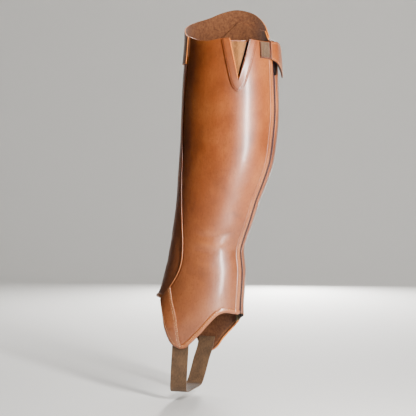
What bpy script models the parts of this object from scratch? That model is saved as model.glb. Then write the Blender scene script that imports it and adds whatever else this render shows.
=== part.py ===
"""One tall leather half chap for a right leg, standing round an unseen calf.

The toe points to -Y, the inner side of the leg is +X, the back of the calf is +Y.
Sizes are in millimetres until MM turns them to metres. Heights are above the floor
under the boot. Angles go round the leg: 0 shin, 90 inner side, 180 back, -90 outer side.
The origin is the middle of the calf, where the leg carries the chap.
"""

import math
from collections import namedtuple

import bmesh
import bpy
from mathutils import Matrix, Vector

MM = 0.001
COLLECTION = "half_chap"
CALF_HEIGHT = 340.0
# Rounds of putting an edge's height back into its side's angle, to find their corner.
CORNER_ROUNDS = 12

# Walls, outward from the leg.
LEATHER = 1.9
OVERLAY_OUT = 2.3
OVERLAY = 1.5
TAPE = 1.1
ELASTIC = 1.4
SEAM_GAP = 0.3
SEAM_GAP_DEG = 0.3
ROUND_FRONT = 0.10

Section = namedtuple("Section", "height shin calf half_width")
SECTIONS = (
    Section(40, -185, 20, 37.0),
    Section(71, -168, 20, 39.5),
    Section(90, -138, 18, 41.0),
    Section(105, -113, 16, 41.5),
    Section(125, -95, 16, 41.5),
    Section(137, -88, 17, 41.0),
    Section(162, -81, 18, 39.5),
    Section(187, -75, 16, 38.5),
    Section(200, -73, 19, 39.0),
    Section(225, -69, 28, 41.5),
    Section(250, -66, 36, 44.5),
    Section(275, -64, 46, 48.0),
    Section(300, -62, 54, 51.0),
    Section(340, -60, 59, 54.0),
    Section(362, -59, 60, 54.5),
    Section(400, -57, 59, 55.0),
    Section(447, -53, 56, 55.5),
    Section(475, -52, 54, 56.5),
    Section(505, -52, 53, 57.5),
)

# Edges, each a row of points on the leg.
Point = namedtuple("Point", "angle height")

TOP_EDGE = (
    Point(-180, 444), Point(-165, 444), Point(-150, 449), Point(-134, 457.5), Point(-126, 473),
    Point(-112, 487), Point(-98, 493.5), Point(-82, 496), Point(-65, 492), Point(-45, 483.5),
    Point(-15, 473.5), Point(12, 463), Point(40, 450.5), Point(72, 442.5), Point(104, 444.5),
    Point(130, 443), Point(150, 442), Point(180, 444),
)
BOTTOM_EDGE = (
    Point(-170, 106), Point(-156, 102), Point(-148, 98), Point(-136, 87), Point(-127, 74),
    Point(-122, 62), Point(-116, 55.5), Point(-110, 57.5), Point(-102, 72), Point(-89, 93),
    Point(-76, 112), Point(-62, 127), Point(-40, 131), Point(0, 128), Point(30, 128.5),
    Point(42, 126.5), Point(51, 119.5), Point(67, 104.5), Point(80, 92.5), Point(90, 81.5),
    Point(97, 73), Point(102, 69), Point(105, 68), Point(108.5, 70.5), Point(116, 87.5),
    Point(122.5, 101.5), Point(130.5, 110.5), Point(141, 113), Point(158, 110.5), Point(185, 108),
)
FRONT_SEAM = (
    Point(39.4, 128), Point(52.6, 143.7), Point(60.5, 156.5), Point(64.6, 169), Point(65, 182.5),
    Point(61, 201), Point(54, 219), Point(46, 245), Point(40, 275), Point(36, 312),
    Point(35, 350), Point(37, 400), Point(40, 451),
)
VAMP_INNER_SEAM = (
    Point(105.3, 70), Point(94, 91), Point(76, 115), Point(63, 129.5), Point(53.4, 142),
)
VAMP_OUTER_SEAM = (
    Point(-115.5, 57.5), Point(-108, 81), Point(-92, 107), Point(-80, 127), Point(-69, 146),
    Point(-58, 163),
)
VAMP_OUTER_FRONT = (
    Point(-111.5, 57), Point(-102, 72.5), Point(-89, 93.5), Point(-76, 112.5), Point(-62, 128),
    Point(-54, 146), Point(-55.5, 162),
)
KNEE_LOWER_EDGE = (Point(-134, 456.5), Point(-107, 463.5), Point(-86, 472), Point(-45, 433))
KNEE_FRONT_EDGE = (Point(-45, 433), Point(-10, 421), Point(39.4, 418))
STRAP_LOWER_EDGE = (
    Point(-155, 427), Point(-137, 428.6), Point(-109, 435.6), Point(-89, 443.5), Point(-66.5, 450),
)
STRAP_UPPER_EDGE = (
    Point(-155, 448.5), Point(-136, 454.8), Point(-107, 462.7), Point(-87, 471),
)

# The back of the chap, as strips round the leg.
INNER_PANEL_BACK = 167.6
TAPE_ANGLES = (168.3, 174.6)
PLACKET_ANGLES = (175.3, 202.2)
REAR_ELASTIC_ANGLES = (202.9, 213.6)
REAR_ELASTIC_TOP = 440.0
REAR_ELASTIC_OUT = 0.2
ZIP_TOP = 434.0
ZIP_ANGLE = 171.4

# V notch in the inner side's top, with an elastic gusset behind it.
NOTCH_LEFT = Point(104.7, 443.5)
NOTCH_RIGHT = Point(130.3, 443.0)
NOTCH_TIP = Point(114.2, 395.0)
# The cutter reaches this far each side of the wall, and runs past the top edge by this factor.
CUTTER_REACH = 14.0
CUTTER_OVERSHOOT = 1.3
# The facing's thickness, its distance from the notch's edges in degrees and millimetres, the share
# of its columns along each side, and how far the rest spread round the tip, in degrees.
FACING = 1.2
FACING_SETBACK = 0.6
FACING_SIDE_SHARE = 0.42
FACING_TIP_SPREAD = 1.28
FACING_OUTER = (
    Point(94.5, 442.5), Point(101.5, 408), Point(107, 386.5), Point(113.5, 380.5),
    Point(121, 387), Point(129, 408), Point(139.6, 441.5),
)

GUSSET_LOW_ANGLES = (110.5, 118.5)
GUSSET_HIGH_ANGLES = (99.5, 135.0)
GUSSET_HEIGHTS = (386.0, 441.0)
GUSSET_OUT = -1.5

# Guard tab, which covers the zip's slider.
TabStation = namedtuple("TabStation", "angle low high out")
GUARD_TAB = (
    TabStation(162.6, 421.0, 442.5, 3.2),
    TabStation(167.0, 418.5, 443.0, 5.4),
    TabStation(172.0, 415.0, 443.0, 6.6),
    TabStation(182.0, 408.0, 440.5, 6.5),
    TabStation(192.0, 401.5, 436.5, 6.1),
    TabStation(203.0, 411.5, 441.5, 5.4),
    TabStation(213.0, 421.0, 446.0, 4.7),
    TabStation(219.0, 427.0, 444.5, 4.3),
    TabStation(222.5, 432.0, 441.0, 4.3),
)
TAB_ELASTIC_ANGLES = (144.6, 162.0)
TAB_ELASTIC_HEIGHTS = (421.6, 441.2)
TAB_ELASTIC = 1.2
TAB_THICK = 1.6
SNAP_AT = Point(209, 435.5)
SNAP_RADIUS = 6.2
SNAP_RISE = 2.6
SNAP_RIM = 0.6
SNAP_STEPS = 5
SNAP_CLEAR = 0.9

# Elastic band under the boot: the middle line, down one side and up the other.
FOOT_STRAP_WIDTH = 21.0
FOOT_STRAP_THICK = 1.6
StrapStation = namedtuple("StrapStation", "x y height")
FOOT_STRAP = (
    StrapStation(38.0, -51.5, 84), StrapStation(37.4, -52.5, 66), StrapStation(36.6, -54.0, 46),
    StrapStation(35.0, -55.5, 27), StrapStation(30.5, -57.0, 14.5), StrapStation(20.0, -57.0, 11.6),
    StrapStation(0.0, -57.0, 11.2), StrapStation(-20.0, -56.0, 11.6),
    StrapStation(-30.0, -54.5, 14.5), StrapStation(-33.0, -51.0, 27), StrapStation(-33.6, -46.0, 46),
    StrapStation(-33.9, -41.5, 60), StrapStation(-34.9, -39.0, 74),
)

# The outer panel runs up behind the knee piece, and stays below its and the strap's top edges.
KNEE_LAP = 8.0
HIDDEN_EDGE = 1.5
# The knee piece's two ends, and where its front end starts to follow the front seam.
KNEE_BACK = -132.8
KNEE_FRONT = 39.0
KNEE_FOLLOWS_SEAM = 30.0
# Share of the knee piece's columns that lie behind the slanted edge's top corner.
KNEE_BACK_SHARE = 0.3
# The strap's back end, and its front end along the slant, at its lower and upper edges.
STRAP_BACK = -155.0
STRAP_FRONT_LOW = -67.0
STRAP_FRONT_HIGH = -87.6
STRAP_EDGE_GAP = 0.7
# The vamp leaf's inner edge stands back from the panel's, in degrees and millimetres.
VAMP_SETBACK = Point(0.6, 0.3)
INNER_VAMP_SPAN = (42, 102)

WELT_RADIUS = 0.8
WELT_POINTS = 34
WELT_HEIGHTS = (131.0, 416.0)

# Zip: the slider rides the teeth, and its pull hangs from a pin between two ears.
SLIDER_HEIGHT = 425.0
SLIDER_SIZE = (7.4, 1.2, 10.0)
EAR_SIZE = (1.0, 2.6, 2.6)
EAR_SPACING = 4.2
EAR_OUT = 3.7
PIN_RADIUS = 0.45
PIN_LENGTH = 4.8
PIN_OUT = 4.2
PULL_EYE_RADIUS = 1.25
PULL_HOLE_RADIUS = 0.8
PULL_EYE_WIDTH = 2.4
PULL_LENGTH = 22.0
PULL_WIDTH = 5.0
PULL_THICK = 1.0
PULL_PLATE_OUT = 0.2
# The plate's shoulder below the pin, and how far the narrow neck laps into it.
PULL_SHOULDER = 4.0
PULL_NECK_LAP = 1.9
STOP_SIZE = (7.0, 1.4, 3.6)
STOP_HEIGHT = 107.2
STOP_ROUNDING = 0.4


def clear_scene():
    for obj in list(bpy.data.objects):
        bpy.data.objects.remove(obj, do_unlink=True)


def smooth(places, values, at):
    """A smooth curve through values at rising places, read at one place."""
    last = len(places) - 1
    i = 0
    while i < last - 1 and at > places[i + 1]:
        i += 1

    def slope(k):
        before, after = max(k - 1, 0), min(k + 1, last)
        return (values[after] - values[before]) / (places[after] - places[before])

    span = places[i + 1] - places[i]
    t = min(max((at - places[i]) / span, 0.0), 1.0)
    rise = values[i + 1] - values[i]
    start, end = slope(i) * span, slope(i + 1) * span
    return values[i] + start * t + (3 * rise - 2 * start - end) * t**2 + (start + end - 2 * rise) * t**3


SECTION_HEIGHTS = [section.height for section in SECTIONS]


def leg_point(angle, height, out=0.0):
    """The point of the leg's surface at an angle and height, moved out along its normal."""
    shin = smooth(SECTION_HEIGHTS, [s.shin for s in SECTIONS], height)
    calf = smooth(SECTION_HEIGHTS, [s.calf for s in SECTIONS], height)
    half_width = smooth(SECTION_HEIGHTS, [s.half_width for s in SECTIONS], height)
    depth = (calf - shin) / 2
    sine, cosine = math.sin(math.radians(angle)), math.cos(math.radians(angle))
    x = half_width * sine * (1 - ROUND_FRONT * cosine)
    y = (shin + calf) / 2 - depth * cosine
    along_x = half_width * (cosine * (1 - ROUND_FRONT * cosine) + ROUND_FRONT * sine**2)
    along_y = depth * sine
    length = math.hypot(along_x, along_y)
    x += out * along_y / length
    y -= out * along_x / length
    return Vector((x, y, height - CALF_HEIGHT)) * MM


def edge_height(edge, angle):
    return smooth([p.angle for p in edge], [p.height for p in edge], angle)


def edge_angle(edge, height):
    return smooth([p.height for p in edge], [p.angle for p in edge], height)


def between(start, end, t):
    return start + (end - start) * t


def patch(left, right, bottom, top):
    """A surface patch from four edges. left and right take v, bottom and top take u;
    each gives a Point, and they meet at the corners."""

    def at(u, v):
        rows = []
        for k in (0, 1):
            across = between(left(v)[k], right(v)[k], u)
            up = between(bottom(u)[k], top(u)[k], v)
            corners = between(between(left(0)[k], right(0)[k], u), between(left(1)[k], right(1)[k], u), v)
            rows.append(across + up - corners)
        return Point(*rows)

    return at


def upright_patch(low, high, left_angle, right_angle):
    """A patch whose two sides are angles that depend on height, between two edges."""

    def corner(edge, side):
        height = edge(side(CALF_HEIGHT))
        for _ in range(CORNER_ROUNDS):
            height = edge(side(height))
        return Point(side(height), height)

    low_left, low_right = corner(low, left_angle), corner(low, right_angle)
    high_left, high_right = corner(high, left_angle), corner(high, right_angle)

    def side(start, end, angle_at):
        def at(v):
            height = between(start.height, end.height, v)
            return Point(angle_at(height), height)

        return at

    def rim(start, end, edge):
        def at(u):
            angle = between(start.angle, end.angle, u)
            return Point(angle, edge(angle))

        return at

    return patch(
        side(low_left, high_left, left_angle),
        side(low_right, high_right, right_angle),
        rim(low_left, low_right, low),
        rim(high_left, high_right, high),
    )


def material(name, colour, roughness, metallic=0.0):
    made = bpy.data.materials.get(name) or bpy.data.materials.new(name)
    made.use_nodes = True
    shader = made.node_tree.nodes["Principled BSDF"]
    shader.inputs["Base Color"].default_value = (*colour, 1.0)
    shader.inputs["Roughness"].default_value = roughness
    shader.inputs["Metallic"].default_value = metallic
    return made


def leather():
    return material("cognac_leather", (0.36, 0.11, 0.035), 0.38)


def foot_webbing():
    return material("taupe_webbing", (0.17, 0.11, 0.075), 0.85)


def rear_webbing():
    return material("dark_webbing", (0.045, 0.045, 0.035), 0.85)


def gusset_elastic():
    return material("tan_elastic", (0.42, 0.22, 0.09), 0.8)


def zip_cloth():
    return material("zip_cloth", (0.06, 0.025, 0.02), 0.8)


def gunmetal():
    return material("gunmetal", (0.05, 0.05, 0.052), 0.32, 0.9)


def finish(obj, name, surface, collection):
    obj.name = name
    obj.data.name = name
    obj.data.materials.clear()
    obj.data.materials.append(surface)
    for old in list(obj.users_collection):
        old.objects.unlink(obj)
    collection.objects.link(obj)
    return obj


def sheet(name, grid, place, thick, surface, collection):
    """A grid of columns and rows, bent to shape by place(u, v), then given its wall on the outer side."""
    bpy.ops.mesh.primitive_grid_add(x_subdivisions=grid[0], y_subdivisions=grid[1], size=2)
    obj = bpy.context.object
    for vertex in obj.data.vertices:
        vertex.co = place((vertex.co.x + 1) / 2, (vertex.co.y + 1) / 2)
    obj.data.shade_smooth()
    wall = obj.modifiers.new("wall", "SOLIDIFY")
    wall.thickness = thick * MM
    wall.offset = 1
    return finish(obj, name, surface, collection)


def on_leg(shape, out):
    """Turns a patch of Points into places on the leg's surface."""
    return lambda u, v: leg_point(*shape(u, v), out)


def apply_modifiers(obj):
    graph = bpy.context.evaluated_depsgraph_get()
    mesh = bpy.data.meshes.new_from_object(obj.evaluated_get(graph))
    obj.modifiers.clear()
    obj.data = mesh


def block(size, place):
    """A box of a size in millimetres, put where the matrix says."""
    mesh = bpy.data.meshes.new("block")
    shape = bmesh.new()
    bmesh.ops.create_cube(shape, size=1, matrix=place @ Matrix.Diagonal((*(s * MM for s in size), 1)))
    shape.to_mesh(mesh)
    shape.free()
    obj = bpy.data.objects.new("block", mesh)
    bpy.context.scene.collection.objects.link(obj)
    return obj


def rod(radius, length, place, sides=16):
    """A round bar along its own X axis, in millimetres, put where the matrix says."""
    mesh = bpy.data.meshes.new("rod")
    shape = bmesh.new()
    turn = Matrix.Rotation(math.pi / 2, 4, "Y")
    bmesh.ops.create_cone(
        shape, cap_ends=True, segments=sides, radius1=radius * MM, radius2=radius * MM,
        depth=length * MM, matrix=place @ turn,
    )
    shape.to_mesh(mesh)
    shape.free()
    obj = bpy.data.objects.new("rod", mesh)
    bpy.context.scene.collection.objects.link(obj)
    return obj


def combine(base, other, operation):
    """Joins or cuts base with other, and removes other."""
    step = base.modifiers.new(operation.lower(), "BOOLEAN")
    step.operation = operation
    step.object = other
    step.solver = "EXACT"
    apply_modifiers(base)
    bpy.data.objects.remove(other, do_unlink=True)
    return base


def stand(angle, height, out):
    """A frame on the leg's surface: X runs round the leg, Y outward, Z up."""
    outward = leg_point(angle, height, 1) - leg_point(angle, height)
    outward.normalize()
    up = Vector((0, 0, 1))
    around = outward.cross(up)
    turn = Matrix((around, outward, up)).transposed().to_4x4()
    return Matrix.Translation(leg_point(angle, height, out)) @ turn


def seam_right(height):
    return edge_angle(FRONT_SEAM, height) + SEAM_GAP_DEG


def seam_left(height):
    return edge_angle(FRONT_SEAM, height) - SEAM_GAP_DEG


def bottom(angle):
    return edge_height(BOTTOM_EDGE, angle if angle <= 185 else angle - 360)


def top(angle):
    return edge_height(TOP_EDGE, angle if angle <= 180 else angle - 360)


def knee_low(angle):
    """The lower edge of the knee piece: along the strap, down the slant, then to the front seam."""
    if angle > KNEE_FRONT_EDGE[0].angle:
        return edge_height(KNEE_FRONT_EDGE, angle)
    points = KNEE_LOWER_EDGE
    for start, end in zip(points, points[1:]):
        if angle <= end.angle:
            break
    return between(start.height, end.height, (angle - start.angle) / (end.angle - start.angle))


def outer_top(angle):
    """The outer panel runs up under the knee piece and the strap, and stays below their upper edges."""
    if angle < KNEE_LOWER_EDGE[0].angle:
        return edge_height(STRAP_UPPER_EDGE, angle) - HIDDEN_EDGE
    return min(knee_low(angle) + KNEE_LAP, top(angle) - HIDDEN_EDGE)


def inner_panel(collection):
    """The inner side, from the front seam back to the zip, with the notch cut in its top."""
    shape = upright_patch(bottom, top, seam_right, lambda height: INNER_PANEL_BACK)
    panel = sheet("inner_panel", (14, 28), on_leg(shape, 0), LEATHER, leather(), collection)
    apply_modifiers(panel)
    return combine(panel, notch_cutter(), "DIFFERENCE")


def notch_cutter():
    """A wedge whose sides pass through the notch's edges, square to the wall."""
    corners = []
    for point in (NOTCH_TIP, NOTCH_RIGHT, NOTCH_LEFT):
        angle = between(NOTCH_TIP.angle, point.angle, CUTTER_OVERSHOOT)
        height = between(NOTCH_TIP.height, point.height, CUTTER_OVERSHOOT)
        corners.append(Point(angle, height))
    mesh = bpy.data.meshes.new("notch_cutter")
    shape = bmesh.new()
    rings = []
    for out in (-CUTTER_REACH, CUTTER_REACH):
        rings.append([shape.verts.new(leg_point(*corner, out)) for corner in corners])
    shape.faces.new(rings[1])
    shape.faces.new(reversed(rings[0]))
    for k in range(3):
        following = (k + 1) % 3
        shape.faces.new((rings[0][k], rings[0][following], rings[1][following], rings[1][k]))
    bmesh.ops.recalc_face_normals(shape, faces=shape.faces)
    shape.to_mesh(mesh)
    shape.free()
    cutter = bpy.data.objects.new("notch_cutter", mesh)
    bpy.context.scene.collection.objects.link(cutter)
    return cutter


def outer_panel(collection):
    """The shin and the outer side in one piece, from the rear elastic round to the front seam."""
    back = REAR_ELASTIC_ANGLES[1] - 360 + 2 * SEAM_GAP_DEG
    shape = upright_patch(bottom, outer_top, lambda height: back, seam_left)
    return sheet("outer_panel", (24, 28), on_leg(shape, 0), LEATHER, leather(), collection)


def knee_piece(collection):
    """The raised top over the outer side of the knee, laid over the outer panel."""
    corner = KNEE_LOWER_EDGE[2].angle
    share = KNEE_BACK_SHARE

    def place(u, v):
        if u < share:
            angle = between(KNEE_BACK, corner, u / share)
        else:
            angle = between(corner, KNEE_FRONT, (u - share) / (1 - share))
        height = between(knee_low(angle), top(angle), v)
        if angle > KNEE_FOLLOWS_SEAM:
            followed = (angle - KNEE_FOLLOWS_SEAM) / (KNEE_FRONT - KNEE_FOLLOWS_SEAM)
            angle = between(angle, seam_left(height), followed)
            height = between(knee_low(angle), top(angle), v)
        return leg_point(angle, height, OVERLAY_OUT)

    return sheet("knee_piece", (20, 5), place, OVERLAY, leather(), collection)


def top_strap(collection):
    """The strap across the outer side, from the slanted edge of the knee piece back to the tab."""

    def place(u, v):
        low_angle = between(STRAP_BACK, STRAP_FRONT_LOW, u)
        high_angle = between(STRAP_BACK, STRAP_FRONT_HIGH, u)
        low_height = edge_height(STRAP_LOWER_EDGE, low_angle)
        high_height = edge_height(STRAP_UPPER_EDGE, high_angle) - STRAP_EDGE_GAP
        return leg_point(between(low_angle, high_angle, v), between(low_height, high_height, v), OVERLAY_OUT)

    return sheet("top_strap", (12, 2), place, OVERLAY, leather(), collection)


def leaf(name, front, seam, collection):
    """A leaf-shaped piece laid on the front lower edge, between its front edge and its seam."""

    def place(u, v):
        low, high = front[0].height, front[-1].height
        front_point = Point(edge_angle(front, between(low, high, v)), between(low, high, v))
        low, high = seam[0].height, seam[-1].height
        seam_point = Point(edge_angle(seam, between(low, high, v)), between(low, high, v))
        return leg_point(
            between(front_point.angle, seam_point.angle, u),
            between(front_point.height, seam_point.height, u),
            OVERLAY_OUT,
        )

    return sheet(name, (4, 14), place, OVERLAY, leather(), collection)


def vamp_pieces(collection):
    """The two leaves laid on the lower front edges, one on each side of the foot."""
    first, last = INNER_VAMP_SPAN
    front = [p for p in BOTTOM_EDGE if first <= p.angle <= last][::-1]
    inner = [Point(p.angle + VAMP_SETBACK.angle, p.height + VAMP_SETBACK.height) for p in front]
    leaf("inner_vamp", inner, VAMP_INNER_SEAM, collection)
    leaf("outer_vamp", VAMP_OUTER_SEAM, VAMP_OUTER_FRONT, collection)


def notch_facing(collection):
    """A U of leather round the notch, laid on the inner panel."""

    def inner_edge(u):
        tip = Point(NOTCH_TIP.angle, NOTCH_TIP.height - FACING_SETBACK)
        left = Point(NOTCH_LEFT.angle - FACING_SETBACK, NOTCH_LEFT.height)
        right = Point(NOTCH_RIGHT.angle + FACING_SETBACK, NOTCH_RIGHT.height)
        if u < FACING_SIDE_SHARE:
            return [between(left[k], tip[k], u / FACING_SIDE_SHARE) for k in (0, 1)]
        if u > 1 - FACING_SIDE_SHARE:
            return [between(right[k], tip[k], (1 - u) / FACING_SIDE_SHARE) for k in (0, 1)]
        turned = (u - FACING_SIDE_SHARE) / (1 - 2 * FACING_SIDE_SHARE)
        angle = tip.angle + (turned - 0.5) * FACING_TIP_SPREAD
        return [angle, tip.height - FACING_SETBACK * math.sin(turned * math.pi)]

    def outer_edge(u):
        steps = [k / (len(FACING_OUTER) - 1) for k in range(len(FACING_OUTER))]
        return [smooth(steps, [p[k] for p in FACING_OUTER], u) for k in (0, 1)]

    def place(u, v):
        inside, outside = inner_edge(u), outer_edge(u)
        return leg_point(*(between(outside[k], inside[k], v) for k in (0, 1)), OVERLAY_OUT)

    return sheet("notch_facing", (20, 2), place, FACING, leather(), collection)


def notch_gusset(collection):
    """The elastic behind the notch."""

    def place(u, v):
        low_angle = between(*GUSSET_LOW_ANGLES, u)
        high_angle = between(*GUSSET_HIGH_ANGLES, u)
        return leg_point(between(low_angle, high_angle, v), between(*GUSSET_HEIGHTS, v), GUSSET_OUT)

    return sheet("notch_gusset", (6, 8), place, TAPE, gusset_elastic(), collection)


def strip(name, angles, low, high, out, thick, surface, collection, columns=2):
    """An upright strip between two angles round the leg."""
    shape = upright_patch(low, high, lambda height: angles[0], lambda height: angles[1])
    return sheet(name, (columns, 28), on_leg(shape, out), thick, surface, collection)


def back_strips(collection):
    """Zip tape, the leather placket beside it, and the long elastic that lets the chap stretch."""
    strip("zip_tape", TAPE_ANGLES, bottom, lambda angle: ZIP_TOP, 0, TAPE, zip_cloth(), collection)
    strip("zip_placket", PLACKET_ANGLES, bottom, top, 0, LEATHER, leather(), collection, columns=4)
    strip(
        "rear_elastic", REAR_ELASTIC_ANGLES, bottom, lambda angle: REAR_ELASTIC_TOP, REAR_ELASTIC_OUT,
        ELASTIC, rear_webbing(), collection,
    )


def front_welt(collection):
    """The thin piping that stands on the front seam."""
    path = bpy.data.curves.new("front_welt", "CURVE")
    path.dimensions = "3D"
    path.bevel_depth = WELT_RADIUS * MM
    path.bevel_resolution = 1
    path.use_fill_caps = True
    line = path.splines.new("POLY")
    line.points.add(WELT_POINTS - 1)
    for k, point in enumerate(line.points):
        height = between(*WELT_HEIGHTS, k / (WELT_POINTS - 1))
        place = leg_point(edge_angle(FRONT_SEAM, height), height, LEATHER + SEAM_GAP + WELT_RADIUS)
        point.co = (*place, 1)
    obj = bpy.data.objects.new("front_welt", path)
    bpy.context.scene.collection.objects.link(obj)
    return finish(obj, "front_welt", leather(), collection)


def guard_tab(collection):
    """The tab that wraps the back over the zip's slider, standing off it, snapped at its outer end."""
    angles = [s.angle for s in GUARD_TAB]

    def place(u, v):
        angle = between(angles[0], angles[-1], u)
        low, high, out = (
            smooth(angles, [s[k] for s in GUARD_TAB], angle) for k in (1, 2, 3)
        )
        return leg_point(angle, between(low, high, v), out)

    return sheet("guard_tab", (18, 4), place, TAB_THICK, leather(), collection)


def tab_elastic(collection):
    """The short elastic that joins the guard tab to the inner panel."""

    def place(u, v):
        angle = between(*TAB_ELASTIC_ANGLES, u)
        return leg_point(angle, between(*TAB_ELASTIC_HEIGHTS, v), OVERLAY_OUT)

    return sheet("tab_elastic", (4, 2), place, TAB_ELASTIC, foot_webbing(), collection)


def snap_cap(collection):
    """The domed cap of the snap, on the tab's outer end."""
    out = smooth([s.angle for s in GUARD_TAB], [s.out for s in GUARD_TAB], SNAP_AT.angle)
    place = stand(*SNAP_AT, out + TAB_THICK + SNAP_CLEAR)
    profile = bpy.data.meshes.new("snap_cap")
    points = [(0.0, 0.0, 0.0), (SNAP_RADIUS, 0.0, 0.0)]
    for k in range(SNAP_STEPS + 1):
        turn = k / SNAP_STEPS * math.pi / 2
        rise = between(SNAP_RIM, SNAP_RISE, math.sin(turn))
        points.append((SNAP_RADIUS * math.cos(turn), 0.0, rise))
    edges = [(k, k + 1) for k in range(len(points) - 1)]
    profile.from_pydata([Vector(p) * MM for p in reversed(points)], edges, [])
    obj = bpy.data.objects.new("snap_cap", profile)
    bpy.context.scene.collection.objects.link(obj)
    turned = obj.modifiers.new("turned", "SCREW")
    turned.steps = turned.render_steps = 20
    turned.use_merge_vertices = True
    turned.merge_threshold = 0.00001
    apply_modifiers(obj)
    obj.data.transform(place @ Matrix.Rotation(-math.pi / 2, 4, "X"))
    return finish(obj, "snap_cap", gunmetal(), collection)


def foot_strap(collection):
    """The elastic band that passes under the boot in front of its heel, sewn inside both sides."""
    steps = [k / (len(FOOT_STRAP) - 1) for k in range(len(FOOT_STRAP))]

    def middle(t):
        return Vector([smooth(steps, [s[k] for s in FOOT_STRAP], t) for k in range(3)])

    def place(u, v):
        point = middle(1 - v)
        point.y += between(-0.5, 0.5, u) * FOOT_STRAP_WIDTH
        point.z -= CALF_HEIGHT
        return point * MM

    obj = sheet("foot_strap", (2, 36), place, FOOT_STRAP_THICK, foot_webbing(), collection)
    obj.modifiers["wall"].offset = 0
    return obj


def zip_slider(collection):
    """The slider's plate with two ears, and the pin between them that carries the pull."""
    place = stand(ZIP_ANGLE, SLIDER_HEIGHT, 0)
    plate_out = TAPE + SEAM_GAP + SLIDER_SIZE[1] / 2
    slider = block(SLIDER_SIZE, place @ Matrix.Translation(Vector((0, plate_out, 0)) * MM))
    for side in (-1, 1):
        at = Vector((side * EAR_SPACING / 2, EAR_OUT, 0)) * MM
        combine(slider, block(EAR_SIZE, place @ Matrix.Translation(at)), "UNION")
    pin = rod(PIN_RADIUS, PIN_LENGTH, place @ Matrix.Translation(Vector((0, PIN_OUT, 0)) * MM), 12)
    combine(slider, pin, "UNION")
    return finish(slider, "zip_slider", gunmetal(), collection)


def zip_pull(collection):
    """The pull: an eye round the pin, and a long plate with a round end that hangs from it."""
    pivot = stand(ZIP_ANGLE, SLIDER_HEIGHT, PIN_OUT)
    flat = Matrix.Identity(4)
    pull = rod(PULL_EYE_RADIUS, PULL_EYE_WIDTH, flat)

    def down(distance):
        return Matrix.Translation(Vector((0, PULL_PLATE_OUT, -distance)) * MM)

    neck_low = PULL_SHOULDER + PULL_NECK_LAP
    neck_high = PULL_HOLE_RADIUS + 0.1
    neck = block((PULL_EYE_WIDTH, PULL_THICK, neck_low - neck_high), down((neck_low + neck_high) / 2))
    combine(pull, neck, "UNION")
    plate_low = PULL_LENGTH - PULL_WIDTH / 2
    plate = block(
        (PULL_WIDTH, PULL_THICK, plate_low - PULL_SHOULDER), down((plate_low + PULL_SHOULDER) / 2),
    )
    combine(pull, plate, "UNION")
    turned = Matrix.Rotation(math.pi / 2, 4, "Z")
    combine(pull, rod(PULL_WIDTH / 2, PULL_THICK, down(plate_low) @ turned, 20), "UNION")
    combine(pull, rod(PULL_HOLE_RADIUS, 2 * PULL_EYE_WIDTH, flat, 12), "DIFFERENCE")
    pull.matrix_world = pivot
    return finish(pull, "zip_pull", gunmetal(), collection)


def zip_stop(collection):
    """The metal box at the foot of the zip."""
    place = stand(ZIP_ANGLE, STOP_HEIGHT, LEATHER + SEAM_GAP + STOP_SIZE[1] / 2)
    stop = block(STOP_SIZE, place)
    edges = stop.modifiers.new("edges", "BEVEL")
    edges.width = STOP_ROUNDING * MM
    edges.segments = 2
    return finish(stop, "zip_stop", gunmetal(), collection)


def build():
    clear_scene()
    collection = bpy.data.collections.new(COLLECTION)
    bpy.context.scene.collection.children.link(collection)
    for piece in (
        inner_panel, outer_panel, knee_piece, top_strap, vamp_pieces, notch_facing, notch_gusset,
        back_strips, front_welt, guard_tab, tab_elastic, snap_cap, foot_strap,
        zip_slider, zip_pull, zip_stop,
    ):
        piece(collection)


build()
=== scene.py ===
import math

import bpy
import numpy as np
from mathutils import Matrix, Vector
from mathutils.bvhtree import BVHTree


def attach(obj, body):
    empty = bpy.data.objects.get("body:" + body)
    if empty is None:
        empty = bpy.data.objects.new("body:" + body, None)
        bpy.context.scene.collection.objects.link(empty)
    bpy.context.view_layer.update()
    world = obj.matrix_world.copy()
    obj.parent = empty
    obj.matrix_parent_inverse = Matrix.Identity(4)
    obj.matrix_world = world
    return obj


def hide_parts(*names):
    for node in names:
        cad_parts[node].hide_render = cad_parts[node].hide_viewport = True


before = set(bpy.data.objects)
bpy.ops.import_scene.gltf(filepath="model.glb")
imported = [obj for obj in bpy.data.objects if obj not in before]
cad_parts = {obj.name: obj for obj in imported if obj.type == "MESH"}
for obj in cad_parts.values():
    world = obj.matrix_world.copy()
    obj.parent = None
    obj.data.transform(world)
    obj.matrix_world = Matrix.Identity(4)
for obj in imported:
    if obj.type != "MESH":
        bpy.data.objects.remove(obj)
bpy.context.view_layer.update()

# A tall half chap in cognac leather for a right leg, standing round an unseen calf.
# The toe points to -Y, the inner side of the leg is +X and the back of the calf is +Y.
# Sizes are in millimetres until MM turns them to metres, and heights are above the floor.
# Angles go round the leg in degrees: 0 shin, 90 inner side, 180 back, -90 outer side.
MM = 0.001

# ---------------------------------------------------------------------------
# Inner side. One hide of waxed cowhide, 1.9 mm thick, from the front seam back to the
# zip. It is cut to the ankle's curve below, and a V is cut in its top edge.

CALF_HEIGHT = 340.0
LEATHER = 1.9
# Stitches are laid just off the leather and then drawn to it. A hem's stitches pull it in beside them.
ON_LEATHER = LEATHER + 0.3
HEM_STITCHES, HEM_DRAWN_IN = 4.0, 4.4
# A fold fades over this share of its length at each end.
FOLD_FADE = 0.3
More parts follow.
